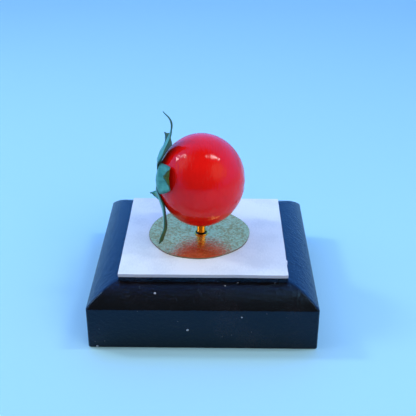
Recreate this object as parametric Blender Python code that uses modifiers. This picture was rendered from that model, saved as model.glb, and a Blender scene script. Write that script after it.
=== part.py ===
"""A tomato held clear of its display stand.

The fruit lies on its side on a turned brass post, with its calyx of five
sepals to the left. The post stands in a black block with routed edges and
goes through a gold disc and a white card square that lie on top of it.

Metres, +Z up. The origin is the centre of the block's underside, +X is to
the right and -Y is the front.
"""

import math

import bmesh
import bpy
from mathutils import Vector

MM = 0.001

# Left between pieces that rest on or in one another.
GAP = 0.3 * MM

# The block: a square of wood whose top edges are routed to a wide arc, with
# a low panel left standing under the card.
BLOCK_SIDE = 76 * MM
BLOCK_WALL = 15.15 * MM
ARC_INSET = 13.3 * MM
ARC_RISE = 5.95 * MM
ARC_FACETS = 10
PANEL_RISE = 0.95 * MM
CORNER_BEVEL = 0.6 * MM

# The card square and the gold disc, laid on one another.
CARD_WIDTH = 56.1 * MM
CARD_DEPTH = 55.4 * MM
CARD_THICKNESS = 0.9 * MM
CARD_CENTRE_Y = -1.75 * MM
DISC_RADIUS = 18.0 * MM
DISC_THICKNESS = 0.35 * MM
DISC_CENTRE = (-1.95 * MM, -1.55 * MM)
DISC_SIDES = 44

# The post: shank in the block, dished foot with a rolled rim on the disc,
# neck, shaft, and a spike inside the fruit.
POST_PLACE = (-1.15 * MM, -2.3 * MM)
SHANK_RADIUS = 1.1 * MM
SHANK_DEPTH = 11.0 * MM
FOOT_RADIUS = 2.3 * MM
RIM_RADIUS = 0.26 * MM
RIM_FACETS = 6
DISH_HEIGHT = 0.2 * MM
NECK_RADIUS = 1.1 * MM
NECK_TOP = 0.65 * MM
SHAFT_RADIUS = 1.55 * MM
SHAFT_CHAMFER = 0.12 * MM
SPIKE_DEPTH = 9.0 * MM
SPIKE_TAPER = 2.5 * MM
POST_SIDES = 28

# The fruit: a slightly flattened globe, lying with its stem end to the left.
# Its stem half is a little shorter than its blossom half.
FRUIT_RADIUS = 16.2 * MM
STEM_HALF_LENGTH = 14.9 * MM
BLOSSOM_HALF_LENGTH = 15.2 * MM
FRUIT_ABOVE_DISC = 21.1 * MM
STEM_TILT = math.radians(3.5)
STEM_DIMPLE = 0.8 * MM
STEM_DIMPLE_RADIUS = 1.9 * MM
BLOSSOM_DIMPLE = 0.5 * MM
BLOSSOM_DIMPLE_RADIUS = 1.3 * MM
FRUIT_ROWS = 30
FRUIT_SIDES = 44

# The calyx: a flat hub and five sepals, all one sheet.
HUB_RADIUS = 4.7 * MM
HUB_SEAT = 14.8 * MM
SCAR_RADIUS = 1.5 * MM
SCAR_DEPTH = 0.3 * MM
SEPAL_THICKNESS = 0.65 * MM
SEPAL_ROWS = 14
SEPAL_COLUMNS = 6

# The half width along a sepal, as (share of its length, share of its widest).
BROAD_OUTLINE = ((0.0, 0.62), (0.28, 1.0), (0.55, 0.7), (0.8, 0.28), (1.0, 0.0))
SLENDER_OUTLINE = ((0.0, 0.62), (0.28, 1.0), (0.48, 0.68), (0.7, 0.23), (1.0, 0.0))
SQUARE_OUTLINE = ((0.0, 0.62), (0.28, 1.0), (0.55, 0.66), (0.85, 0.32), (1.0, 0.3))
BLUNT_OUTLINE = ((0.0, 0.62), (0.28, 1.0), (0.55, 0.72), (0.86, 0.56), (1.0, 0.04))
FOLDED_OUTLINE = ((0.0, 0.6), (0.3, 1.0), (0.6, 0.82), (0.84, 0.46), (1.0, 0.06))

# Each sepal: its turn about the stem from straight up towards the back, in
# degrees; the course of its midrib, as (out from the stem line, along it) in
# millimetres; its widest, its outline, how far its sides bend back towards
# the fruit, its twist at the tip in degrees, and the tip's sideways swing.
SEPALS = {
    "upper": {
        "turn": -3,
        "course": (
            (4.7, 14.8), (7.6, 14.7), (11.0, 13.2), (14.6, 11.7), (18.4, 10.8), (21.8, 11.2), (24.8, 13.8),
        ),
        "width": 9.2, "outline": SLENDER_OUTLINE, "cup": 0.06, "twist": 0, "swing": 0.0,
    },
    "back": {
        "turn": 69,
        "course": ((4.7, 14.8), (8.5, 14.3), (12.5, 13.0), (16.5, 12.5), (20.0, 12.7), (22.5, 13.2)),
        "width": 8.0, "outline": SQUARE_OUTLINE, "cup": 0.06, "twist": -72, "swing": 0.0,
    },
    "lower_back": {
        "turn": 141,
        "course": ((4.7, 14.8), (7.6, 14.5), (10.6, 14.0), (13.0, 14.6), (14.2, 16.2), (13.9, 17.9)),
        "width": 8.2, "outline": BROAD_OUTLINE, "cup": 0.16, "twist": 20, "swing": 0.0,
    },
    "lower": {
        "turn": 213,
        "course": (
            (4.7, 14.8), (7.6, 13.6), (11.0, 12.3), (14.4, 11.6), (17.6, 11.5), (20.5, 12.1), (23.0, 12.9),
        ),
        "width": 8.4, "outline": BLUNT_OUTLINE, "cup": 0.14, "twist": 14, "swing": 0.0,
    },
    "front": {
        "turn": -69,
        "course": ((4.7, 14.8), (7.2, 14.1), (9.6, 12.4), (11.9, 10.8), (13.6, 10.7), (15.4, 12.3)),
        "width": 10.3, "outline": FOLDED_OUTLINE, "cup": 0.1, "twist": 8, "swing": 1.5,
    },
}

PANEL_TOP = BLOCK_WALL + ARC_RISE + PANEL_RISE
CARD_BOTTOM = PANEL_TOP + GAP
CARD_TOP = CARD_BOTTOM + CARD_THICKNESS
DISC_BOTTOM = CARD_TOP + GAP
DISC_TOP = DISC_BOTTOM + DISC_THICKNESS
FOOT_BOTTOM = DISC_TOP + GAP
FRUIT_CENTRE = Vector((*POST_PLACE, DISC_TOP + FRUIT_ABOVE_DISC))


def clear_scene():
    for found in list(bpy.data.objects):
        bpy.data.objects.remove(found)
    for found in list(bpy.data.collections):
        bpy.data.collections.remove(found)


def new_collection(name):
    made = bpy.data.collections.new(name)
    bpy.context.scene.collection.children.link(made)
    return made


def material(name, colour, roughness, metallic=0.0):
    made = bpy.data.materials.new(name)
    made.use_nodes = True
    shader = made.node_tree.nodes["Principled BSDF"]
    shader.inputs["Base Color"].default_value = (*colour, 1.0)
    shader.inputs["Roughness"].default_value = roughness
    shader.inputs["Metallic"].default_value = metallic
    return made


def object_from(work, name, collection):
    """The bmesh as an object of its own in the collection."""
    mesh = bpy.data.meshes.new(name)
    work.to_mesh(mesh)
    work.free()
    made = bpy.data.objects.new(name, mesh)
    collection.objects.link(made)
    return made


def box_mesh(width, depth, height):
    """A box with its centre at the origin."""
    work = bmesh.new()
    bmesh.ops.create_cube(work, size=1.0)
    bmesh.ops.scale(work, verts=work.verts, vec=(width, depth, height))
    return work


def turned(name, profile, sides, collection):
    """A solid turned about Z from (radius, height) points, which run from top to bottom."""
    work = bmesh.new()
    rim = [work.verts.new((radius, 0.0, height)) for radius, height in profile]
    for upper, lower in zip(rim, rim[1:]):
        work.edges.new((upper, lower))
    made = object_from(work, name, collection)
    screw = made.modifiers.new("Turn", "SCREW")
    screw.steps = sides
    screw.render_steps = sides
    screw.use_merge_vertices = True
    screw.merge_threshold = 0.000001
    return made


def cylinder_cutter(name, radius, bottom, top):
    """An upright cylinder on the post's line, for a hole."""
    work = bmesh.new()
    bmesh.ops.create_cone(
        work, cap_ends=True, segments=POST_SIDES, radius1=radius, radius2=radius, depth=top - bottom
    )
    made = object_from(work, name, cutters)
    made.location = (*POST_PLACE, (top + bottom) / 2)
    hide_helper(made)
    return made


def hide_helper(helper):
    helper.hide_render = True
    helper.display_type = "WIRE"


def boolean(target, other, operation):
    cut = target.modifiers.new(f"{operation.title()} {other.name}", "BOOLEAN")
    cut.operation = operation
    cut.solver = "EXACT"
    cut.object = other


def smooth_round(target, sharp_from):
    target.data.shade_smooth()
    target.data.set_sharp_from_angle(angle=math.radians(sharp_from))


def bevel(target, width, segments, limit):
    made = target.modifiers.new("Bevel", "BEVEL")
    made.width = width
    made.segments = segments
    made.limit_method = "ANGLE"
    made.angle_limit = math.radians(limit)


def along_curve(knots, share):
    """A point at this share of a smooth curve through the knots, which are tuples of equal length."""
    spans = len(knots) - 1
    place = min(max(share, 0.0), 1.0) * spans
    start = min(int(place), spans - 1)
    t = place - start
    b, c = Vector(knots[start]), Vector(knots[start + 1])
    a = Vector(knots[start - 1]) if start > 0 else 2 * b - c
    d = Vector(knots[start + 2]) if start + 2 <= spans else 2 * c - b
    return 0.5 * (2 * b + (c - a) * t + (2 * a - 5 * b + 4 * c - d) * t**2 + (3 * b - a - 3 * c + d) * t**3)


def at_share(table, share):
    """A value from (share, value) pairs, eased from each pair to the next."""
    for (start, low), (end, high) in zip(table, table[1:]):
        if share <= end:
            t = (share - start) / (end - start)
            return low + (high - low) * t * t * (3 - 2 * t)
    return table[-1][1]


def build_block():
    """The block is a four-sided turning, which gives the arcs their mitred corners."""
    to_corner = math.sqrt(2.0)
    arc_radius = (ARC_INSET**2 + ARC_RISE**2) / (2 * ARC_RISE)
    profile = [(0.0, BLOCK_WALL + ARC_RISE)]
    for step in range(ARC_FACETS + 1):
        inset = ARC_INSET * (1 - step / ARC_FACETS)
        drop = arc_radius - math.sqrt(arc_radius**2 - (ARC_INSET - inset) ** 2)
        profile.append(((BLOCK_SIDE / 2 - inset) * to_corner, BLOCK_WALL + ARC_RISE - drop))
    profile += [(BLOCK_SIDE / 2 * to_corner, 0.0), (0.0, 0.0)]
    block = turned("plinth", profile, 4, parts)
    block.rotation_euler.z = math.pi / 4
    bevel(block, CORNER_BEVEL, 2, 75)

    panel_height = ARC_RISE + PANEL_RISE
    panel = object_from(box_mesh(CARD_WIDTH, CARD_DEPTH, panel_height), "panel_shape", cutters)
    panel.location = (0.0, CARD_CENTRE_Y, PANEL_TOP - panel_height / 2)
    hide_helper(panel)
    boolean(block, panel, "UNION")
    hole = cylinder_cutter(
        "shank_hole", SHANK_RADIUS + GAP, PANEL_TOP - SHANK_DEPTH, PANEL_TOP + BLOCK_WALL
    )
    boolean(block, hole, "DIFFERENCE")
    block.data.materials.append(material("black paint", (0.012, 0.014, 0.02), 0.38))


def build_card():
    card = object_from(box_mesh(CARD_WIDTH, CARD_DEPTH, CARD_THICKNESS), "card", parts)
    card.location = (0.0, CARD_CENTRE_Y, (CARD_BOTTOM + CARD_TOP) / 2)
    hole = cylinder_cutter("card_hole", SHANK_RADIUS + GAP, BLOCK_WALL, DISC_TOP + BLOCK_WALL)
    boolean(card, hole, "DIFFERENCE")
    card.data.materials.append(material("white card", (0.82, 0.83, 0.86), 0.6))


def build_disc():
    """Cut by hand, so its edge wanders a little from the circle."""
    work = bmesh.new()
    bmesh.ops.create_cone(
        work,
        cap_ends=True,
        segments=DISC_SIDES,
        radius1=DISC_RADIUS,
        radius2=DISC_RADIUS,
        depth=DISC_THICKNESS,
    )
    for vert in work.verts:
        angle = math.atan2(vert.co.y, vert.co.x)
        wander = 1 + 0.008 * math.sin(3 * angle + 1.0) + 0.006 * math.sin(8 * angle)
        vert.co.x *= wander
        vert.co.y *= wander
    disc = object_from(work, "gold_disc", parts)
    disc.location = (*DISC_CENTRE, (DISC_BOTTOM + DISC_TOP) / 2)
    hole = cylinder_cutter("disc_hole", SHANK_RADIUS + GAP, CARD_BOTTOM, DISC_TOP + BLOCK_WALL)
    boolean(disc, hole, "DIFFERENCE")
    disc.data.materials.append(material("gold leaf card", (0.62, 0.5, 0.26), 0.32, 0.9))


def build_post():
    spike_top = FRUIT_CENTRE.z - FRUIT_RADIUS + SPIKE_DEPTH
    shank_bottom = PANEL_TOP - SHANK_DEPTH + GAP
    rim_middle = FOOT_RADIUS - RIM_RADIUS
    profile = [
        (0.0, spike_top),
        (SHAFT_CHAMFER, spike_top),
        (SHAFT_RADIUS, spike_top - SPIKE_TAPER),
        (SHAFT_RADIUS, FOOT_BOTTOM + NECK_TOP + SHAFT_CHAMFER),
        (SHAFT_RADIUS - SHAFT_CHAMFER, FOOT_BOTTOM + NECK_TOP),
        (NECK_RADIUS, FOOT_BOTTOM + NECK_TOP),
        (NECK_RADIUS, FOOT_BOTTOM + DISH_HEIGHT),
    ]
    for step in range(RIM_FACETS + 1):
        angle = math.pi * (1.0 - 1.5 * step / RIM_FACETS)
        profile.append(
            (rim_middle + RIM_RADIUS * math.cos(angle), FOOT_BOTTOM + RIM_RADIUS * (1 + math.sin(angle)))
        )
    profile += [(SHANK_RADIUS, FOOT_BOTTOM), (SHANK_RADIUS, shank_bottom), (0.0, shank_bottom)]
    post = turned("brass_post", profile, POST_SIDES, parts)
    post.location = (*POST_PLACE, 0.0)
    smooth_round(post, 40)
    post.data.materials.append(material("polished brass", (0.85, 0.58, 0.18), 0.18, 1.0))


def fruit_profile():
    points = []
    for row in range(FRUIT_ROWS + 1):
        angle = math.pi * row / FRUIT_ROWS
        out = FRUIT_RADIUS * math.sin(angle)
        along = (STEM_HALF_LENGTH if row < FRUIT_ROWS / 2 else BLOSSOM_HALF_LENGTH) * math.cos(angle)
        along -= STEM_DIMPLE * math.exp(-((out / STEM_DIMPLE_RADIUS) ** 2)) * (row < FRUIT_ROWS / 2)
        along += BLOSSOM_DIMPLE * math.exp(-((out / BLOSSOM_DIMPLE_RADIUS) ** 2)) * (row > FRUIT_ROWS / 2)
        points.append((0.0 if row in (0, FRUIT_ROWS) else out, along))
    return points


def build_fruit():
    fruit = turned("tomato_fruit", fruit_profile(), FRUIT_SIDES, parts)
    fruit.parent = stem_line
    socket_bottom = FRUIT_CENTRE.z - FRUIT_RADIUS - CARD_THICKNESS
    socket_top = FRUIT_CENTRE.z - FRUIT_RADIUS + SPIKE_DEPTH + GAP
    socket = cylinder_cutter("spike_socket", SHAFT_RADIUS + GAP, socket_bottom, socket_top)
    boolean(fruit, socket, "DIFFERENCE")
    smooth_round(fruit, 40)
    fruit.data.materials.append(material("tomato skin", (0.62, 0.012, 0.008), 0.2))


def sector_of(sepal):
    """The sepal's share of the hub, as angles from its midrib to halfway to each neighbour."""
    steps = sorted((other["turn"] - sepal["turn"]) % 360 for other in SEPALS.values())
    return math.radians((steps[-1] - 360) / 2), math.radians(steps[1] / 2)


def clear_of_skin(point):
    """The point, moved straight out from the fruit's centre if it is too near the skin."""
    radius = FRUIT_RADIUS + GAP
    half_length = STEM_HALF_LENGTH + GAP
    depth = math.sqrt((point.x**2 + point.y**2) / radius**2 + point.z**2 / half_length**2)
    return point / min(depth, 1.0)


def sepal_point(sepal, row, column):
    """A point of the sheet: rows 0 to 2 are the hub's sector, the rest is the blade."""
    across = 2 * column / SEPAL_COLUMNS - 1
    if row <= 2:
        right, left = sector_of(sepal)
        sector = right + (left - right) * column / SEPAL_COLUMNS
        out = (0.0, SCAR_RADIUS, HUB_RADIUS)[row]
        sunk = SCAR_DEPTH if row == 0 else 0.0
        return Vector((out * math.cos(sector), out * math.sin(sector), HUB_SEAT - sunk))
    share = (row - 2) / SEPAL_ROWS
    here = along_curve(sepal["course"], share) * MM
    ahead = along_curve(sepal["course"], min(share + 0.01, 1.0)) * MM
    behind = along_curve(sepal["course"], share - 0.01) * MM
    run = Vector((ahead.x - behind.x, 0.0, ahead.y - behind.y)).normalized()
    sideways = Vector((0.0, 1.0, 0.0))
    face = run.cross(sideways)
    twist = math.radians(sepal["twist"]) * share**2
    sideways, face = (
        math.cos(twist) * sideways + math.sin(twist) * face,
        math.cos(twist) * face - math.sin(twist) * sideways,
    )
    half_width = sepal["width"] / 2 * MM * at_share(sepal["outline"], share)
    bend = sepal["cup"] * half_width * across**2
    middle = Vector((here.x, sepal["swing"] * MM * share**2, here.y))
    return clear_of_skin(middle + sideways * half_width * across - face * bend)


def build_calyx():
    work = bmesh.new()
    for sepal in SEPALS.values():
        grid = bmesh.ops.create_grid(work, x_segments=SEPAL_COLUMNS, y_segments=SEPAL_ROWS + 2, size=0.5)
        turn = math.radians(sepal["turn"])
        for vert in grid["verts"]:
            column = round((vert.co.x + 0.5) * SEPAL_COLUMNS)
            row = round((vert.co.y + 0.5) * (SEPAL_ROWS + 2))
            point = sepal_point(sepal, row, column)
            vert.co = (
                point.x * math.cos(turn) - point.y * math.sin(turn),
                point.x * math.sin(turn) + point.y * math.cos(turn),
                point.z,
            )
    bmesh.ops.reverse_faces(work, faces=work.faces)
    bmesh.ops.remove_doubles(work, verts=work.verts, dist=0.005 * MM)
    bmesh.ops.triangulate(work, faces=work.faces)
    calyx = object_from(work, "tomato_calyx", parts)
    calyx.parent = stem_line
    sheet = calyx.modifiers.new("Sheet", "SOLIDIFY")
    sheet.thickness = SEPAL_THICKNESS
    sheet.offset = 1.0
    smooth_round(calyx, 50)
    calyx.data.materials.append(material("sepal green", (0.06, 0.3, 0.2), 0.45))


clear_scene()
parts = new_collection("Tomato on display stand")
cutters = new_collection("Cutters")

# The stem line runs along this empty's Z, to the left and a little upwards;
# its X points up and its Y to the back.
stem_line = bpy.data.objects.new("stem_line", None)
parts.objects.link(stem_line)
stem_line.location = FRUIT_CENTRE
stem_line.rotation_euler.y = STEM_TILT - math.pi / 2

build_block()
build_card()
build_disc()
build_post()
build_fruit()
build_calyx()
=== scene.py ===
"""A tomato held clear of its display stand: the looks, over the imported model."""

import math

import bmesh
import bpy
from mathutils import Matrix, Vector, noise


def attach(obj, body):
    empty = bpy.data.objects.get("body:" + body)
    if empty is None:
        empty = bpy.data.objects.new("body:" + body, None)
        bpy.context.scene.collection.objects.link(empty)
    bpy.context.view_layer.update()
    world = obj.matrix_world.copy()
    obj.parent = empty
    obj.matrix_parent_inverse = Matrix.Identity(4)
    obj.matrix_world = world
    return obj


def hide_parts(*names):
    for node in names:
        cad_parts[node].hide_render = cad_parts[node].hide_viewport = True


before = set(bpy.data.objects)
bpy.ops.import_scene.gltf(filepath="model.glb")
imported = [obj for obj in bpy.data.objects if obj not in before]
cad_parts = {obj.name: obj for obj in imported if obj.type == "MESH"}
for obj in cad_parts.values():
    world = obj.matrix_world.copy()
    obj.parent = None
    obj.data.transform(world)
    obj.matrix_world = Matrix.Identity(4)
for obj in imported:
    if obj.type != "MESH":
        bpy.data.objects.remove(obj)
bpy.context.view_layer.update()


# The block is a square of wood. Its top edges are routed to a wide arc that
# meets in mitres at the corners, and all of it is sprayed with satin black
# paint, which dried with a fine lumpy grain and caught a little dust.
MM = 0.001
BLOCK_HALF = 38 * MM
BLOCK_CORNER = 0.8 * MM
BLOCK_WALL = 15.15 * MM
ARC_INSET = 13.3 * MM
ARC_RISE = 5.95 * MM
ARC_START_INSET = 0.14 * MM
ARC_STEPS = 32

# Insets and heights in millimetres, up from the table and from the wall's top.
EASED_FOOT = ((0.45, 0.0), (0.12, 0.12), (0.0, 0.45))
EASED_WALL_TOP = ((0.0, -0.3), (0.03, -0.12))

PAINT_DEEP = (0.003, 0.0014, 0.0014)
PAINT_THIN = (0.014, 0.01, 0.012)
PAINT_RELIEF = 0.28 * MM
DUST = (0.4, 0.45, 0.5)

# Specks caught in the paint, as place and radius in millimetres.
PAINT_SPECKS = (
    ((-15.6, -33.6, 18.9), 0.4),
    ((-4.9, -38.0, 7.4), 0.4),
    ((12.8, -38.0, 12.6), 0.3),
    ((-35.0, -38.0, 0.5), 0.4),
    ((11.5, -29.3, 20.7), 0.38),
    ((17.5, -29.3, 20.9), 0.32),
    ((23.7, -29.3, 20.7), 0.38),
    ((7.3, -30.8, 20.2), 0.28),
)
SPECK_RAGGEDNESS = 0.3 * MM


class Wire:
    """A socket that adds Math nodes where it stands in an expression."""

    def __init__(self, finish, socket):
        self.finish = finish
        self.socket = socket

    def output(self, name):
        return Wire(self.finish, self.socket.node.outputs[name])

    def maths(self, operation, *values):
        return self.finish.node("ShaderNodeMath", {"operation": operation}, dict(enumerate(values)))

    def __add__(self, other):
        return self.maths("ADD", self, other)

    def __sub__(self, other):
        return self.maths("SUBTRACT", self, other)

    def __rsub__(self, other):
        return self.maths("SUBTRACT", other, self)

    def __mul__(self, other):
        return self.maths("MULTIPLY", self, other)

    def __gt__(self, other):
        return self.maths("GREATER_THAN", self, other)

    def __lt__(self, other):
        return self.maths("LESS_THAN", self, other)

    __radd__ = __add__
    __rmul__ = __mul__


class Finish:
    """A surface finish, with its nodes."""

    def __init__(self, name, constants, owner=None, shader="Principled BSDF"):
        self.material = owner or bpy.data.materials.new(name)
        self.material.use_nodes = True
        self.tree = self.material.node_tree
        self.shader = self.tree.nodes[shader]
        for socket, value in constants.items():
            self.shader.inputs[socket].default_value = value

    def connect(self, socket, value):
        if isinstance(value, Wire):
            self.tree.links.new(value.socket, socket)
        elif isinstance(value, tuple) and len(socket.default_value) == 4:
            socket.default_value = (*value, 1.0)
        else:
            socket.default_value = value

    def node(self, kind, settings, sockets):
        """Any node, with its settings first and then its sockets' values or links."""
        made = self.tree.nodes.new(kind)
        for setting, value in settings.items():
            setattr(made, setting, value)
        for name, value in sockets.items():
            if isinstance(name, int):
                self.connect(made.inputs[name], value)
            else:
                self.connect(next(s for s in made.inputs if s.enabled and s.name == name), value)
        return Wire(self, next(s for s in made.outputs if s.enabled))

    def place(self):
        """Where a point is on its object, in metres."""
        return self.node("ShaderNodeTexCoord", {}, {}).output("Object")

    def coordinates(self, vector):
        """The X, Y and Z of a vector."""
        split = self.node("ShaderNodeSeparateXYZ", {}, {0: vector})
        return [split.output(axis) for axis in "XYZ"]

    def facing_up(self):
        """How far the surface faces up, from -1 to 1."""
        return self.coordinates(self.node("ShaderNodeNewGeometry", {}, {}).output("Normal"))[2]

    def distance(self, place, centre):
        """How far the place is from the centre."""
        return self.node(
            "ShaderNodeVectorMath", {"operation": "DISTANCE"}, {0: place, 1: centre}
        ).output("Value")

    def stretched(self, place, scale):
        """The place, scaled along each axis."""
        return self.node("ShaderNodeVectorMath", {"operation": "MULTIPLY"}, {0: place, 1: scale})

    def grain(self, per_metre, place, detail=2.0, roughness=0.5):
        """Soft noise from 0 to 1."""
        return self.node(
            "ShaderNodeTexNoise",
            {},
            {"Vector": place, "Scale": per_metre, "Detail": detail, "Roughness": roughness},
        )

    def spread(self, value, low, high):
        """0 below low, 1 above high, and eased between them."""
        return self.node(
            "ShaderNodeMapRange",
            {"interpolation_type": "SMOOTHSTEP"},
            {"Value": value, "From Min": low, "From Max": high, "To Min": 0.0, "To Max": 1.0},
        )

    def between(self, mask, first, second):
        """The first colour where the mask is 0, and the second where it is 1."""
        return self.node("ShaderNodeMix", {"data_type": "RGBA"}, {"Factor": mask, "A": first, "B": second})

    def raised(self, height, distance):
        """A bump of this height times the distance in metres."""
        return self.node("ShaderNodeBump", {}, {"Height": height, "Distance": distance}).output("Normal")

    def wear(self, **links):
        """Links wires to the shader's sockets, which are named with underscores for spaces."""
        for name, wire in links.items():
            self.connect(self.shader.inputs[name.replace("_", " ")], wire)
        return self.material


def rounded_outline(half_width, half_depth, corner, bends=5, along=1):
    """Points anticlockwise round a rectangle with rounded corners, from the right of its back corner."""
    points = []
    for quarter, (side_x, side_y) in enumerate(((1, 1), (-1, 1), (-1, -1), (1, -1))):
        middle = Vector((side_x * (half_width - corner), side_y * (half_depth - corner)))
        if points and along > 1:
            turn = math.pi / 2 * quarter
            start, end = points[-1], middle + corner * Vector((math.cos(turn), math.sin(turn)))
            points += [start.lerp(end, step / along) for step in range(1, along)]
        for bend in range(bends + 1):
            turn = math.pi / 2 * (quarter + bend / bends)
            points.append(middle + corner * Vector((math.cos(turn), math.sin(turn))))
    if along > 1:
        points += [points[-1].lerp(points[0], step / along) for step in range(1, along)]
    return points


def stacked(levels):
    """A closed solid through outlines of equal length, given with their heights from the lowest up."""
    work = bmesh.new()
    rings = [[work.verts.new((*point, height)) for point in outline] for outline, height in levels]
    for lower, upper in zip(rings, rings[1:]):
        for i in range(len(lower)):
            work.faces.new((lower[i - 1], lower[i], upper[i], upper[i - 1]))
    work.faces.new(reversed(rings[0]))
    work.faces.new(rings[-1])
    return work


def planed(half_width, half_depth, corner, profile):
    """A closed rectangular solid whose sides follow (inset, height) pairs from the lowest up."""
    return stacked(
        [
            (rounded_outline(half_width - inset, half_depth - inset, corner), height)
            for inset, height in profile
        ]
    )


def piece_from(work, name, sharp_from, *finishes):
    """The mesh as a piece that rides on the stand, with its finishes."""
    mesh = bpy.data.meshes.new(name)
    work.to_mesh(mesh)
    work.free()
    mesh.shade_smooth()
    mesh.set_sharp_from_angle(angle=math.radians(sharp_from))
    for finish in finishes:
        mesh.materials.append(finish)
    made = bpy.data.objects.new(name, mesh)
    bpy.context.scene.collection.objects.link(made)
    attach(made, "root")
    return made


def even_shading(piece):
    """Keeps wide flat faces flat next to narrow rounded ones."""
    made = piece.modifiers.new("Even shading", "WEIGHTED_NORMAL")
    made.keep_sharp = True


# The blue specular tint is a painted blue reflection: it colours the paint's sheen blue.
paint = Finish("satin black paint", {"Specular Tint": (0.22, 0.53, 0.83, 1.0)})
on_block = paint.place()
patches = paint.grain(70, on_block, 4.0)
runs = paint.grain(380, on_block, 3.0, 0.6)
orange_peel = paint.grain(900, on_block)
fine_grain = paint.grain(3200, on_block, 3.0, 0.6)
cells = paint.node("ShaderNodeTexVoronoi", {}, {"Vector": on_block, "Scale": 620})
chance = paint.node("ShaderNodeSeparateColor", {}, {0: cells.output("Color")})
specks = 0.35 * (cells < 0.09) * (chance > 0.9)
for centre, radius in PAINT_SPECKS:
    apart = paint.distance(on_block, tuple(value * MM for value in centre))
    ragged = apart + SPECK_RAGGEDNESS * (fine_grain - 0.5)
    specks = specks.maths("MAXIMUM", specks, ragged < radius * MM)
thin_spots = paint.spread(0.4 * patches + 0.6 * fine_grain, 0.5, 0.68)
painted = paint.between(thin_spots, PAINT_DEEP, PAINT_THIN)
paint.wear(
    Base_Color=paint.between(0.75 * specks, painted, DUST),
    Roughness=0.11 + 0.16 * fine_grain + 0.3 * specks,
    Normal=paint.raised(0.6 * runs + 0.75 * orange_peel + 0.3 * fine_grain + 0.6 * specks, PAINT_RELIEF),
)

block_profile = [(inset * MM, height * MM) for inset, height in EASED_FOOT]
block_profile += [(inset * MM, BLOCK_WALL + height * MM) for inset, height in EASED_WALL_TOP]
arc_radius = (ARC_INSET**2 + ARC_RISE**2) / (2 * ARC_RISE)
for step in range(ARC_STEPS + 1):
    inset = ARC_START_INSET + (ARC_INSET - ARC_START_INSET) * step / ARC_STEPS
    drop = arc_radius - math.sqrt(arc_radius**2 - (ARC_INSET - inset) ** 2)
    block_profile.append((inset, BLOCK_WALL + ARC_RISE - drop))
block = piece_from(
    planed(BLOCK_HALF, BLOCK_HALF, BLOCK_CORNER, block_profile), "painted_block", 60, paint.material
)
even_shading(block)
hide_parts("plinth")


# The panel is a low square that was left standing in the middle of the block.
# It is under the same paint, and its top edges are barely eased.
PANEL_HALF_WIDTH = 28.0 * MM
PANEL_HALF_DEPTH = 27.65 * MM
PANEL_CORNER = 0.5 * MM
PANEL_CENTRE_Y = -1.75 * MM
PANEL_TOP = 22.3 * MM

panel_profile = (
    (0.0, BLOCK_WALL),
    (0.0, PANEL_TOP - 0.2 * MM),
    (0.06 * MM, PANEL_TOP - 0.06 * MM),
    (0.2 * MM, PANEL_TOP),
)
panel = piece_from(
    planed(PANEL_HALF_WIDTH, PANEL_HALF_DEPTH, PANEL_CORNER, panel_profile),
    "painted_panel",
    60,
    paint.material,
)
panel.location.y = PANEL_CENTRE_Y
even_shading(panel)


# The card is a square of thick white card, cut by hand with a knife, so its
# edges wander a little and carry a burr. It is glued flat on the panel.
CARD_HALF_WIDTH = 28.05 * MM
CARD_HALF_DEPTH = 27.7 * MM
CARD_CORNER = 0.25 * MM
CARD_TOP = 23.4 * MM
CARD_ARRIS = 0.1 * MM
CARD_ARRIS_SHRINK = 0.9985
CUT_WANDER = 0.16 * MM
SLOW_WANDER_PER_METRE = 90
QUICK_WANDER_PER_METRE = 600
BURR_Y = -18.7 * MM
BURR_HEIGHT = 0.5 * MM
BURR_HALF_LENGTH = 0.55 * MM

CARD_FACE = (0.71, 0.8, 0.8)
CARD_SHADE = (0.63, 0.72, 0.73)
CARD_EDGE = (0.42, 0.44, 0.5)
CARD_RELIEF = 0.04 * MM


def cut_from_sheet(outline, bottom, top, arris, arris_shrink):
    """A closed solid with this outline, whose upper edge is taken in a little."""
    eased = [point * arris_shrink for point in outline]
    return stacked([(outline, bottom), (outline, top - arris), (eased, top)])


card_finish = Finish("white card", {"Specular IOR Level": 0.35})
on_card = card_finish.place()
clouds = card_finish.grain(90, on_card, 4.0)
fibres = card_finish.grain(1800, card_finish.stretched(on_card, (1.0, 0.35, 1.0)), 4.0, 0.65)
cut_side = card_finish.facing_up() < 0.5
cloudy_face = card_finish.between(
    card_finish.spread(0.6 * clouds + 0.4 * fibres, 0.42, 0.62), CARD_FACE, CARD_SHADE
)
card_finish.wear(
    Base_Color=card_finish.between(cut_side, cloudy_face, CARD_EDGE),
    Roughness=0.48 + 0.2 * fibres + 0.15 * cut_side,
    Normal=card_finish.raised(fibres * (1.0 + 2.0 * cut_side), CARD_RELIEF),
)

cut_outline = []
for point in rounded_outline(CARD_HALF_WIDTH, CARD_HALF_DEPTH, CARD_CORNER, bends=3, along=90):
    slow = noise.noise(Vector((point.x * SLOW_WANDER_PER_METRE, point.y * SLOW_WANDER_PER_METRE, 3.0)))
    quick = noise.noise(Vector((point.x * QUICK_WANDER_PER_METRE, point.y * QUICK_WANDER_PER_METRE, 7.0)))
    on_right_edge = point.x > CARD_HALF_WIDTH - BURR_HEIGHT
    burr = math.exp(-(((point.y - BURR_Y) / BURR_HALF_LENGTH) ** 2)) * on_right_edge
    reach = CUT_WANDER * (slow + 0.3 * quick) + BURR_HEIGHT * burr
    cut_outline.append(point + point.normalized() * reach)
card = piece_from(
    cut_from_sheet(cut_outline, PANEL_TOP, CARD_TOP, CARD_ARRIS, CARD_ARRIS_SHRINK),
    "white_card_square",
    40,
    card_finish.material,
)
card.location.y = PANEL_CENTRE_Y
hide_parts("card")


# The disc is cut by hand from card with a gold mirror face, so its edge has
# short straight cuts. The face is finely grained and the cut edge is brown.
DISC_CENTRE = (-1.95 * MM, -1.55 * MM)
DISC_RADIUS = 18.0 * MM
DISC_TOP = 23.85 * MM
DISC_ARRIS = 0.06 * MM
DISC_ARRIS_SHRINK = 0.9965
DISC_CUTS = 44

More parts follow.
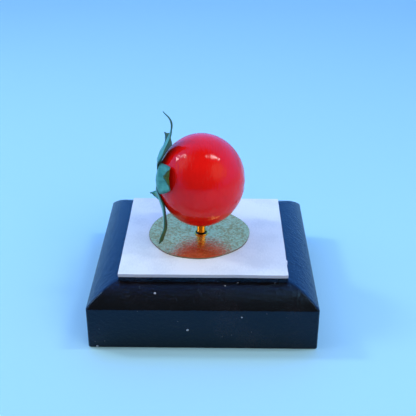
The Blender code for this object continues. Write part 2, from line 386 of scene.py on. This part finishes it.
GOLD_LIGHT = (1.0, 0.6, 0.21)
GOLD_DARK = (0.74, 0.31, 0.06)
GOLD_EDGE = (0.16, 0.1, 0.05)
GOLD_SHINE = 0.86
GOLD_RELIEF = 0.09 * MM

gold = Finish("gold mirror card", {})
on_disc = gold.place()
flakes = gold.grain(1000, on_disc, 3.0, 0.75)
soft_wear = gold.grain(240, on_disc, 3.0)
brown_edge = gold.facing_up() < 0.8
gold_face = gold.between(gold.spread(0.7 * flakes + 0.3 * soft_wear, 0.4, 0.58), GOLD_DARK, GOLD_LIGHT)
gold.wear(
    Base_Color=gold.between(brown_edge, gold_face, GOLD_EDGE),
    Metallic=GOLD_SHINE - GOLD_SHINE * brown_edge,
    Roughness=0.04 + 0.06 * soft_wear + 0.1 * flakes + 0.3 * brown_edge,
    Normal=gold.raised(flakes, GOLD_RELIEF),
)

disc_outline = []
for cut in range(DISC_CUTS):
    angle = 2 * math.pi * cut / DISC_CUTS
    wander = 1 + 0.008 * math.sin(3 * angle + 1.0) + 0.006 * math.sin(8 * angle)
    disc_outline.append(DISC_RADIUS * wander * Vector((math.cos(angle), math.sin(angle))))
disc = piece_from(
    cut_from_sheet(disc_outline, CARD_TOP, DISC_TOP, DISC_ARRIS, DISC_ARRIS_SHRINK),
    "gold_card_disc",
    30,
    gold.material,
)
disc.location = (*DISC_CENTRE, 0.0)
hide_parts("gold_disc")


# The post is turned from brass. Its dished foot has a rolled rim and sits on
# the disc, with its shank glued in the block. Above the neck the shaft runs
# up into the fruit.
POST_PLACE = (-1.15 * MM, -2.3 * MM)
POST_SIDES = 64
SHANK_RADIUS = 1.1 * MM
SHANK_BOTTOM = 11.5 * MM
FOOT_RADIUS = 2.3 * MM
RIM_RADIUS = 0.2 * MM
RIM_STEPS = 12
RIM_SWEEP = 270
DISH_HEIGHT = 0.1 * MM
NECK_TOP = 0.62 * MM
SHAFT_RADIUS = 1.55 * MM
SHAFT_TOP = 33.0 * MM

BRASS_BRIGHT = (1.0, 0.6, 0.07)
BRASS_DULL = (0.8, 0.4, 0.035)
# The dish's near black is painted shade and a painted dark reflection.
BRASS_PAINTED_SHADE = (0.09, 0.035, 0.008)
BRASS_RELIEF = 0.02 * MM

brass = Finish("polished brass", {"Metallic": 1.0})
on_post = brass.place()
turned_lines = brass.grain(1.0, brass.stretched(on_post, (60.0, 60.0, 5200.0)))
tarnish = brass.grain(420, on_post, 3.0)
post_x, post_y, post_height = brass.coordinates(on_post)
inside_rim = post_x * post_x + post_y * post_y < (FOOT_RADIUS - 1.2 * RIM_RADIUS) ** 2
# Inside the rim the dish is painted near black, as painted shade and a painted dark reflection.
shaded_dish = inside_rim * (post_height < DISC_TOP + NECK_TOP)
brightness = brass.between(brass.spread(tarnish, 0.4, 0.75), BRASS_BRIGHT, BRASS_DULL)
brass.wear(
    Base_Color=brass.between(shaded_dish, brightness, BRASS_PAINTED_SHADE),
    Roughness=0.08 + 0.1 * tarnish + 0.06 * turned_lines + 0.2 * shaded_dish,
    Normal=brass.raised(turned_lines, BRASS_RELIEF),
)


def turned(profile, sides):
    """A closed solid turned about Z from (radius, height) points that start and end on the axis."""
    work = bmesh.new()
    line = [work.verts.new((radius, 0.0, height)) for radius, height in profile]
    edges = [work.edges.new(pair) for pair in zip(line, line[1:])]
    bmesh.ops.spin(
        work, geom=line + edges, cent=(0, 0, 0), axis=(0, 0, 1), angle=2 * math.pi, steps=sides
    )
    bmesh.ops.remove_doubles(work, verts=work.verts, dist=0.0005 * MM)
    bmesh.ops.recalc_face_normals(work, faces=work.faces)
    return work


post_profile = [(0.0, SHANK_BOTTOM), (SHANK_RADIUS, SHANK_BOTTOM), (SHANK_RADIUS, DISC_TOP)]
for step in range(RIM_STEPS + 1):
    angle = math.radians(-90 + RIM_SWEEP * step / RIM_STEPS)
    post_profile.append(
        (
            FOOT_RADIUS - RIM_RADIUS + RIM_RADIUS * math.cos(angle),
            DISC_TOP + RIM_RADIUS * (1 + math.sin(angle)),
        )
    )
post_profile += [
    (1.45 * MM, DISC_TOP + DISH_HEIGHT - 0.05 * MM),
    (1.16 * MM, DISC_TOP + DISH_HEIGHT),
    (SHANK_RADIUS, DISC_TOP + DISH_HEIGHT + 0.06 * MM),
    (SHANK_RADIUS, DISC_TOP + NECK_TOP - 0.14 * MM),
    (1.24 * MM, DISC_TOP + NECK_TOP - 0.04 * MM),
    (1.42 * MM, DISC_TOP + NECK_TOP),
    (1.52 * MM, DISC_TOP + NECK_TOP + 0.05 * MM),
    (SHAFT_RADIUS, DISC_TOP + NECK_TOP + 0.14 * MM),
    (SHAFT_RADIUS, SHAFT_TOP),
    (0.0, SHAFT_TOP + SHAFT_RADIUS),
]
post = piece_from(turned(post_profile, POST_SIDES), "turned_brass_post", 50, brass.material)
post.location = (*POST_PLACE, 0.0)
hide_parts("brass_post")


# The fruit is a small round tomato that lies on its side, with its stem end
# to the left. The skin is taut and glossy, with a dimple at the stem and a
# small dry scar at the blossom end.
FRUIT_CENTRE = Vector((*POST_PLACE, 44.95 * MM))
FRUIT_RADIUS = 16.2 * MM
STEM_HALF_LENGTH = 14.9 * MM
BLOSSOM_HALF_LENGTH = 15.2 * MM
STEM_TILT = math.radians(3.5)
STEM_DIMPLE_DEPTH = 0.8 * MM
STEM_DIMPLE_RADIUS = 1.9 * MM
BLOSSOM_DIMPLE_DEPTH = 0.5 * MM
BLOSSOM_DIMPLE_RADIUS = 1.3 * MM
UNEVENNESS = 0.05 * MM
UNEVENNESS_PER_METRE = 110
RIB_COUNT = 5
RIB_DEPTH = 0.05 * MM
FRUIT_ROWS = 120
FRUIT_SIDES = 128

SKIN_RED = (0.82, 0.004, 0.002)
SKIN_DEEP = (0.7, 0.003, 0.003)
SKIN_ORANGE = (0.74, 0.04, 0.006)
SKIN_RELIEF = 0.105 * MM
SCAR_TAN = (0.28, 0.12, 0.04)
SCAR_INNER = 0.6 * MM
SCAR_OUTER = 1.0 * MM
SCAR_RAGGEDNESS = 0.6 * MM
SHOULDER_START = 12.5 * MM
SHOULDER_END = 15.2 * MM

skin = Finish("tomato skin", {"IOR": 1.45, "Specular IOR Level": 0.32})
on_skin = skin.place()
blush = skin.grain(75, on_skin, 3.0)
mottle = skin.grain(900, on_skin, 3.0, 0.6)
streaks = skin.grain(1.0, skin.stretched(on_skin, (380.0, 380.0, 1900.0)), 1.0)
along_stem = skin.coordinates(on_skin)[2]
from_blossom_end = skin.distance(on_skin, (0.0, 0.0, -BLOSSOM_HALF_LENGTH))
scar = 1.0 - skin.spread(from_blossom_end + SCAR_RAGGEDNESS * (mottle - 0.5), SCAR_INNER, SCAR_OUTER)
ripe = skin.between(skin.spread(blush + 0.15 * mottle, 0.45, 0.75), SKIN_RED, SKIN_DEEP)
shoulder = skin.spread(along_stem, SHOULDER_START, SHOULDER_END)
skin_colour = skin.between(0.5 * shoulder, ripe, SKIN_ORANGE)
skin.wear(
    Base_Color=skin.between(scar, skin_colour, SCAR_TAN),
    Roughness=0.02 + 0.05 * mottle + 0.05 * streaks + 0.4 * scar,
    Normal=skin.raised(0.1 * mottle + 1.2 * streaks + scar, SKIN_RELIEF),
)

fruit_profile = []
for row in range(FRUIT_ROWS + 1):
    angle = math.pi * row / FRUIT_ROWS
    out = FRUIT_RADIUS * math.sin(angle)
    if row < FRUIT_ROWS / 2:
        along = STEM_HALF_LENGTH * math.cos(angle)
        along -= STEM_DIMPLE_DEPTH * math.exp(-((out / STEM_DIMPLE_RADIUS) ** 2))
    else:
        along = BLOSSOM_HALF_LENGTH * math.cos(angle)
        along += BLOSSOM_DIMPLE_DEPTH * math.exp(-((out / BLOSSOM_DIMPLE_RADIUS) ** 2))
    fruit_profile.append((0.0 if row in (0, FRUIT_ROWS) else out, along))
fruit_work = turned(fruit_profile, FRUIT_SIDES)
for vert in fruit_work.verts:
    around = math.atan2(vert.co.y, vert.co.x)
    near_end = (vert.co.z / STEM_HALF_LENGTH) ** 4
    uneven = UNEVENNESS * noise.noise(vert.co * UNEVENNESS_PER_METRE)
    ribs = RIB_DEPTH * math.sin(RIB_COUNT * around) * near_end
    vert.co += vert.co.normalized() * (uneven + ribs)


def lay_on_side(piece):
    """Puts a piece that stands about the Z axis over the post, with its upper end to the left."""
    piece.location = FRUIT_CENTRE
    piece.rotation_euler.y = STEM_TILT - math.pi / 2


fruit = piece_from(fruit_work, "tomato", 60, skin.material)
lay_on_side(fruit)
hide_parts("tomato_fruit")


# The calyx is one leafy piece: a flat hub over the dimple and five pointed
# sepals, which arch away from the skin and curl back at their tips. Its
# outer faces are teal with a pale bloom. Its inner faces are a darker olive,
# which is painted shade and painted red reflected from the skin, and the
# margins of both faces are darkened as painted shade.
HUB_RADIUS = 4.7 * MM
HUB_SEAT = 14.8 * MM
HUB_FOLD = 0.12 * MM
STALK_SCAR_RADIUS = 1.5 * MM
STALK_SCAR_DEPTH = 0.45 * MM
SKIN_GAP = 0.15 * MM
BLADE_THICKNESS = 0.5 * MM
THINNING_LENGTH = 20 * MM
THINNEST_SHARE = 0.5
MIDRIB_HEIGHT = 0.14 * MM
MIDRIB_HALF_WIDTH = 0.35 * MM
SIDE_WAVE = 0.12 * MM
SIDE_WAVER = 0.03
BLADE_ROWS = 56
BLADE_COLUMNS = 20
HUB_ROWS = 10

# Half widths along a sepal, as share of its length and share of its widest.
BROAD_OUTLINE = ((0.0, 0.62), (0.28, 1.0), (0.55, 0.7), (0.8, 0.28), (1.0, 0.0))
SLENDER_OUTLINE = ((0.0, 0.62), (0.28, 1.0), (0.48, 0.68), (0.7, 0.23), (0.86, 0.14), (1.0, 0.02))
BLUNT_OUTLINE = ((0.0, 0.62), (0.28, 1.0), (0.55, 0.72), (0.86, 0.56), (1.0, 0.04))
SQUARE_OUTLINE = ((0.0, 0.62), (0.28, 1.0), (0.55, 0.66), (0.85, 0.32), (1.0, 0.3))
FOLDED_OUTLINE = ((0.0, 0.6), (0.3, 1.0), (0.6, 0.82), (0.84, 0.46), (1.0, 0.06))

# Each sepal: its turn about the stem from straight up towards the back, in
# degrees; the course of its midrib, as (out from the stem line, along it) in
# millimetres; its widest, its outline, how far its sides bend back towards
# the fruit, its twist at the tip in degrees, and the tip's sideways swing.
SEPALS = {
    "upper": {
        "turn": -3,
        "course": (
            (4.7, 14.8), (7.6, 14.7), (11.0, 13.2), (14.6, 11.7), (18.4, 10.8), (21.8, 11.2), (24.8, 13.8),
        ),
        "width": 9.2, "outline": SLENDER_OUTLINE, "cup": 0.06, "twist": 0, "swing": 0.0,
    },
    "back": {
        "turn": 69,
        "course": ((4.7, 14.8), (8.5, 14.3), (12.5, 13.0), (16.5, 12.5), (20.0, 12.7), (22.5, 13.2)),
        "width": 8.0, "outline": SQUARE_OUTLINE, "cup": 0.06, "twist": -72, "swing": 0.0,
    },
    "lower_back": {
        "turn": 141,
        "course": ((4.7, 14.8), (7.6, 14.5), (10.6, 14.0), (13.0, 14.6), (14.2, 16.2), (13.9, 17.9)),
        "width": 8.2, "outline": BROAD_OUTLINE, "cup": 0.16, "twist": 20, "swing": 0.0,
    },
    "lower": {
        "turn": 213,
        "course": (
            (4.7, 14.8), (7.6, 13.6), (11.0, 12.3), (14.4, 11.6), (17.6, 11.5), (20.5, 12.1), (23.0, 12.9),
        ),
        "width": 8.4, "outline": BLUNT_OUTLINE, "cup": 0.14, "twist": 14, "swing": 0.0,
    },
    "front": {
        "turn": -69,
        "course": ((4.7, 14.8), (7.2, 14.1), (9.6, 12.4), (11.9, 10.8), (13.6, 10.7), (15.4, 12.3)),
        "width": 10.3, "outline": FOLDED_OUTLINE, "cup": 0.1, "twist": 8, "swing": 1.5,
    },
}

OUTER_TEAL = (0.018, 0.2, 0.125)
OUTER_BLOOM = (0.07, 0.37, 0.25)
# The edge colours darken the blades' margins as painted shade.
OUTER_SHADED_EDGE = (0.008, 0.06, 0.03)
# The inner colours are darker copies of the outer ones: painted shade and painted red reflected from the
# skin.
INNER_SHADED_OLIVE = (0.02, 0.07, 0.008)
INNER_SHADED_PALE = (0.05, 0.12, 0.015)
INNER_SHADED_EDGE = (0.01, 0.04, 0.006)
LEAF_RELIEF = 0.1 * MM


def along_curve(knots, share):
    """A point at this share of a smooth curve through the knots."""
    spans = len(knots) - 1
    place = min(max(share, 0.0), 1.0) * spans
    start = min(int(place), spans - 1)
    t = place - start
    b, c = Vector(knots[start]), Vector(knots[start + 1])
    a = Vector(knots[start - 1]) if start > 0 else 2 * b - c
    d = Vector(knots[start + 2]) if start + 2 <= spans else 2 * c - b
    return 0.5 * (2 * b + (c - a) * t + (2 * a - 5 * b + 4 * c - d) * t**2 + (3 * b - a - 3 * c + d) * t**3)


def at_share(table, share):
    """A value from (share, value) pairs, eased from each pair to the next."""
    for (start, low), (end, high) in zip(table, table[1:]):
        if share <= end:
            t = (share - start) / (end - start)
            return low + (high - low) * t * t * (3 - 2 * t)
    return table[-1][1]


def clear_of_skin(point):
    """The point, moved straight out from the fruit's centre if it is too near the skin."""
    depth = math.sqrt(
        (point.x**2 + point.y**2) / (FRUIT_RADIUS + SKIN_GAP) ** 2
        + point.z**2 / (STEM_HALF_LENGTH + SKIN_GAP) ** 2
    )
    return point / min(depth, 1.0)


def hub_point(sepal, share, column):
    """A point of the sepal's sector of the hub, which reaches halfway to each neighbour."""
    steps = sorted((other["turn"] - sepal["turn"]) % 360 for other in SEPALS.values())
    right, left = math.radians((steps[-1] - 360) / 2), math.radians(steps[1] / 2)
    sector = right + (left - right) * column / BLADE_COLUMNS
    out = HUB_RADIUS * share
    sunk = STALK_SCAR_DEPTH * (1 - min(out / STALK_SCAR_RADIUS, 1.0) ** 2)
    fold = HUB_FOLD * math.cos(2 * math.pi * (column / BLADE_COLUMNS - 0.5)) * share**2
    return Vector((out * math.cos(sector), out * math.sin(sector), HUB_SEAT - sunk + fold))


def blade_point(sepal, share, column):
    """A point of the sepal's blade, with a raised midrib and gently waved sides."""
    across = 2 * column / BLADE_COLUMNS - 1
    side = math.copysign(1, across)
    here = along_curve(sepal["course"], share) * MM
    ahead = along_curve(sepal["course"], share + 0.01) * MM
    behind = along_curve(sepal["course"], share - 0.01) * MM
    run = Vector((ahead.x - behind.x, 0.0, ahead.y - behind.y)).normalized()
    sideways = Vector((0.0, 1.0, 0.0))
    face = run.cross(sideways)
    twist = math.radians(sepal["twist"]) * share**2
    sideways, face = (
        math.cos(twist) * sideways + math.sin(twist) * face,
        math.cos(twist) * face - math.sin(twist) * sideways,
    )
    half_width = sepal["width"] / 2 * MM * at_share(sepal["outline"], share)
    half_width *= 1 + SIDE_WAVER * math.sin(23 * share + 3 * side) * abs(across)
    bend = sepal["cup"] * half_width * across**2
    wave = SIDE_WAVE * math.sin(17 * share + 2.5 * side) * across**2 * min(6 * share, 1)
    rib = MIDRIB_HEIGHT * math.exp(-((across * half_width / MIDRIB_HALF_WIDTH) ** 2)) * min(8 * share, 1)
    middle = Vector((here.x, sepal["swing"] * MM * share**2, here.y))
    return clear_of_skin(middle + sideways * half_width * across - face * (bend + wave - rib))


def sepal_point(sepal, row, column):
    """A point of the calyx, turned to its sepal's place about the stem line."""
    if row <= HUB_ROWS:
        point = hub_point(sepal, row / HUB_ROWS, column)
    else:
        point = blade_point(sepal, (row - HUB_ROWS) / BLADE_ROWS, column)
    turn = math.radians(sepal["turn"])
    return (
        point.x * math.cos(turn) - point.y * math.sin(turn),
        point.x * math.sin(turn) + point.y * math.cos(turn),
        point.z,
    )


leaf_work = bmesh.new()
on_leaf_map = leaf_work.loops.layers.uv.new("blade")
for sepal in SEPALS.values():
    rows = [
        [leaf_work.verts.new(sepal_point(sepal, row, column)) for column in range(BLADE_COLUMNS + 1)]
        for row in range(HUB_ROWS + BLADE_ROWS + 1)
    ]
    for row, (near, far) in enumerate(zip(rows, rows[1:])):
        for column in range(BLADE_COLUMNS):
            face = leaf_work.faces.new((near[column], far[column], far[column + 1], near[column + 1]))
            for loop, (u, v) in zip(face.loops, ((0, 0), (0, 1), (1, 1), (1, 0))):
                loop[on_leaf_map].uv = (
                    (column + u) / BLADE_COLUMNS,
                    (row + v - HUB_ROWS) / BLADE_ROWS,
                )
bmesh.ops.remove_doubles(leaf_work, verts=leaf_work.verts, dist=0.004 * MM)


def leaf_finish(name, face_colour, pale_colour, shaded_edge_colour, roughness):
    """Green leaf with a paler midrib, fine veins that run to the tip, and edges darkened as painted shade.
    """
    leaf = Finish(name, {"Specular IOR Level": 0.65})
    on_leaf = leaf.place()
    across, along, _ = leaf.coordinates(leaf.node("ShaderNodeUVMap", {"uv_map": "blade"}, {}))
    from_rib = (2.0 * across - 1.0).maths("ABSOLUTE", 2.0 * across - 1.0)
    cloudy = leaf.grain(260, on_leaf, 3.0)
    pores = leaf.grain(2600, on_leaf, 2.0, 0.6)
    veins = leaf.grain(1.0, leaf.node("ShaderNodeCombineXYZ", {}, {0: 26.0 * across, 1: 2.2 * along}))
    mixed = leaf.between(
        leaf.spread(0.7 * cloudy + 0.14 * veins + 0.16 * pores, 0.38, 0.62), face_colour, pale_colour
    )
    ribbed = leaf.between(0.45 * (1.0 - leaf.spread(from_rib, 0.03, 0.16)), mixed, pale_colour)
    return leaf.wear(
        Base_Color=leaf.between(0.75 * leaf.spread(from_rib, 0.72, 1.0), ribbed, shaded_edge_colour),
        Roughness=roughness + 0.18 * cloudy,
        Normal=leaf.raised(0.4 * veins + 0.35 * pores, LEAF_RELIEF),
    )


calyx = piece_from(
    leaf_work,
    "calyx",
    60,
    leaf_finish("sepal outer face", OUTER_TEAL, OUTER_BLOOM, OUTER_SHADED_EDGE, 0.3),
    leaf_finish("sepal inner face", INNER_SHADED_OLIVE, INNER_SHADED_PALE, INNER_SHADED_EDGE, 0.5),
)
thickness_group = calyx.vertex_groups.new(name="thick")
for vert in calyx.data.vertices:
    past_hub = max(math.hypot(vert.co.x, vert.co.y) - HUB_RADIUS, 0.0)
    share = 1.0 - (1.0 - THINNEST_SHARE) * past_hub / THINNING_LENGTH
    thickness_group.add([vert.index], max(THINNEST_SHARE, share), "REPLACE")
lay_on_side(calyx)
thickened = calyx.modifiers.new("Leaf", "SOLIDIFY")
thickened.thickness = BLADE_THICKNESS
thickened.offset = 1.0
thickened.vertex_group = "thick"
thickened.material_offset = 1
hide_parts("tomato_calyx")


# The floor is one plain pale sheet that reaches far past the view. It lies a
# hair below the block, so that the two faces don't share one plane.
FLOOR_HALF = 3.0
FLOOR_DROP = 0.02 * MM

floor_finish = Finish("pale floor", {"Roughness": 0.7, "Base Color": (0.38, 0.73, 0.88, 1.0)})
floor_work = bmesh.new()
bmesh.ops.create_grid(floor_work, x_segments=8, y_segments=8, size=FLOOR_HALF)
floor_mesh = bpy.data.meshes.new("floor")
floor_work.to_mesh(floor_mesh)
floor_work.free()
floor_mesh.materials.append(floor_finish.material)
floor = bpy.data.objects.new("floor", floor_mesh)
floor.location.z = -FLOOR_DROP
bpy.context.scene.collection.objects.link(floor)


# Two small lamps stand high on the left and the right, each in a pale glow,
# and two soft ones fill in from the top and the front. The room is blue round
# the sides and the back, and dim in front.
ROOM_BLUE = (0.15, 0.65, 1.95)
ROOM_FRONT = (0.24, 0.2, 0.18)

# Each glow: its direction, where it begins and where it is full, and its colour.
GLOWS = (
    ((-0.735, -0.094, 0.671), 1.04, 1.1, (1.8, 1.5, 1.5)),
    ((0.748, -0.369, 0.553), 1.0, 1.1, (1.6, 1.4, 1.05)),
)


def lamp(name, direction, distance, size, power, colour, shines=True):
    """A rectangular lamp that faces the fruit; one that doesn't shine isn't seen in glossy surfaces."""
    data = bpy.data.lights.new(name, "AREA")
    data.shape = "RECTANGLE"
    data.size, data.size_y = size
    data.energy = power
    data.color = colour
    made = bpy.data.objects.new(name, data)
    outwards = Vector(direction).normalized()
    made.location = FRUIT_CENTRE + outwards * distance
    made.rotation_euler = outwards.to_track_quat("Z", "Y").to_euler()
    made.visible_glossy = shines
    bpy.context.scene.collection.objects.link(made)


lamp("left lamp", (-0.715, 0.19, 0.68), 0.55, (0.055, 0.08), 0.72, (0.95, 0.98, 1.0))
lamp("right lamp", (0.5, 0.0, 0.866), 0.55, (0.034, 0.15), 0.62, (0.95, 0.97, 1.0))
lamp("top lamp", (-0.4, 0.1, 0.9), 0.6, (0.4, 0.4), 0.45, (1.0, 0.97, 0.88), shines=False)
lamp("front lamp", (0.45, -0.76, 0.5), 0.6, (0.4, 0.3), 1.1, (1.0, 0.98, 0.93), shines=False)

room = bpy.data.worlds.new("room")
bpy.context.scene.world = room
walls = Finish("room", {"Strength": 1.0}, owner=room, shader="Background")
into_room = walls.node("ShaderNodeTexCoord", {}, {}).output("Generated")
rightwards, backwards, upwards = walls.coordinates(into_room)
glow_edge = 0.2 * walls.grain(9.0, into_room)
lit = walls.between(walls.spread(0.75 * upwards - 0.75 * backwards, 0.25, 0.72), ROOM_BLUE, ROOM_FRONT)
for (right, back, up), begins, full, colour in GLOWS:
    nearness = glow_edge + right * rightwards + back * backwards + up * upwards
    lit = walls.between(walls.spread(nearness, begins, full), lit, colour)
walls.wear(Color=lit)
bpy.context.scene.view_settings.view_transform = "Standard"


# The camera looks down from the front at the photograph's angle, from about
# 0.28 m away, through a lens of 69 mm.
view_data = bpy.data.cameras.new("view")
view_data.sensor_width = 36.0
view_data.lens = 68.7
view_data.clip_start = 0.01
view = bpy.data.objects.new("view", view_data)
view.location = (4.89 * MM, -249.95 * MM, 163.55 * MM)
aim = Vector((1.23 * MM, 0.0, 32.74 * MM)) - view.location
view.rotation_euler = aim.to_track_quat("-Z", "Y").to_euler()
bpy.context.scene.collection.objects.link(view)
bpy.context.scene.camera = view
